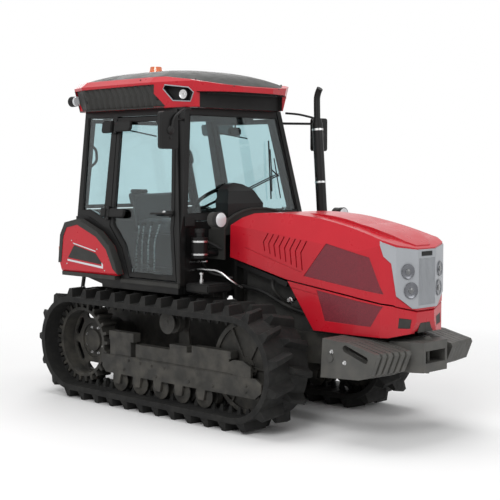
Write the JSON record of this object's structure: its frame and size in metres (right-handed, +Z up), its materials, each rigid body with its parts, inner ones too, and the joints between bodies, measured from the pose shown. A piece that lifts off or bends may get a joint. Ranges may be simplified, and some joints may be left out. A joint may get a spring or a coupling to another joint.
{
  "type": "crawler tractor",
  "caption": "Narrow agricultural crawler tractor: glazed cab, rubber tracks on long frames, sloping hood, front weights, rear three-point linkage.",
  "frame": {"origin": "on the ground, at the middle of the overall length and on the centre plane", "axes": "+X forward, +Y to the left, +Z up"},
  "size_m": [3.5, 1.628, 2.423],
  "materials": {
    "track_rubber": "matt, dusty black-grey moulded rubber",
    "running_gear_grey": "dark warm grey paint, semi-gloss",
    "engine_grey": "dark grey painted castings",
    "weight_grey": "grey painted cast plates",
    "cab_black": "black satin paint",
    "cab_glass": "blue-green tinted safety glass",
    "red_paint": "bright red gloss paint",
    "roof_grey": "grained grey plastic",
    "hood_screen": "dark red mesh screen",
    "grille_silver": "satin silver plastic",
    "beacon_amber": "amber lens",
    "lamp_lens": "clear lamp lens",
    "seat_fabric": "black woven upholstery",
    "wheel_plastic": "soft black plastic",
    "bright_steel": "bright plated steel"
  },
  "bodies": {
    "chassis": {"air_cleaner": "cab_black", "beacon": "beacon_amber", "cab_frame": "cab_black", "cab_tub": "cab_black", "cowl_screens": "hood_screen", "dash_console": "cab_black", "engine_block": "engine_grey", "exhaust": "cab_black", "fender_rails": "running_gear_grey", "fenders": "red_paint", "front_support": "weight_grey", "front_weights": "weight_grey", "hitch_frame": "engine_grey", "hood_arch": "cab_black", "idlers": "running_gear_grey", "lower_cowl": "red_paint", "main_frame": "running_gear_grey", "mirrors": "cab_black", "quarter_glass": "cab_glass", "rollers": "running_gear_grey", "roof_shell": "red_paint", "roof_sides": "roof_grey", "roof_top": "roof_grey", "scuttle": "roof_grey", "seat_back": "seat_fabric", "seat_base": "cab_black", "seat_cushion": "seat_fabric", "sprockets": "running_gear_grey", "track_frames": "running_gear_grey", "tracks": "track_rubber", "windscreen": "cab_glass", "wiper_cowl": "cab_black", "work_lamps": "lamp_lens"},
    "door_right": {"door_right": "cab_black", "door_glass_right": "cab_glass"},
    "door_left": {"door_left": "cab_black", "door_glass_left": "cab_glass"},
    "rear_window": {"rear_window": "cab_black", "rear_glass": "cab_glass"},
    "hood": {"hood": "red_paint", "nose_grille": "grille_silver", "hood_screens": "hood_screen", "head_lamps": "lamp_lens"},
    "steering_wheel": {"steering_wheel": "wheel_plastic"},
    "lift_arms": {"lift_arms": "engine_grey"},
    "lift_rods": {"lift_rods": "engine_grey"},
    "lower_links": {"lower_links": "engine_grey"},
    "top_link": {"top_link": "bright_steel"},
    "pto_shaft": {"pto_shaft": "bright_steel"}
  },
  "joints": [
    {"name": "door_right_hinge", "type": "hinge", "parent": "chassis", "child": "door_right", "pos_m": [-0.646, -0.61903, 1.262], "axis": [0.0459, -0.1619, -0.9857], "range_deg": [0, 80]},
    {"name": "door_left_hinge", "type": "hinge", "parent": "chassis", "child": "door_left", "pos_m": [-0.646, 0.61903, 1.262], "axis": [-0.0459, -0.1619, 0.9857], "range_deg": [0, 80]},
    {"name": "rear_window_hinge", "type": "hinge", "parent": "chassis", "child": "rear_window", "pos_m": [-1.07676, 0, 2.02733], "axis": [0, 1, 0], "range_deg": [0, 60]},
    {"name": "hood_hinge", "type": "hinge", "parent": "chassis", "child": "hood", "pos_m": [0.372, 0, 1.3], "axis": [0, -1, 0], "range_deg": [0, 45]},
    {"name": "steering", "type": "hinge", "parent": "chassis", "child": "steering_wheel", "pos_m": [-0.115, 0, 1.42], "axis": [-0.5, 0, 0.866], "continuous": true},
    {"name": "lift", "type": "hinge", "parent": "chassis", "child": "lift_arms", "pos_m": [-1.15, 0, 0.81], "axis": [0, 1, 0], "range_deg": [-6, 30]},
    {"name": "lift_rod_swing", "type": "hinge", "parent": "lift_arms", "child": "lift_rods", "pos_m": [-1.38, 0, 0.85], "axis": [0, 1, 0], "range_deg": [-40, 20]},
    {"name": "lower_link_swing", "type": "hinge", "parent": "chassis", "child": "lower_links", "pos_m": [-1.255, 0, 0.43], "axis": [0, 1, 0], "range_deg": [-10, 40]},
    {"name": "top_link_swing", "type": "hinge", "parent": "chassis", "child": "top_link", "pos_m": [-1.258, 0, 0.67], "axis": [0, -1, 0], "range_deg": [0, 100]},
    {"name": "pto_spin", "type": "hinge", "parent": "chassis", "child": "pto_shaft", "pos_m": [-1.26, 0, 0.545], "axis": [1, 0, 0], "continuous": true}
  ],
  "couplings": [
    {"joint": "lower_link_swing", "follows": "lift", "ratio": 1},
    {"joint": "lift_rod_swing", "follows": "lift", "ratio": -0.95}
  ]
}
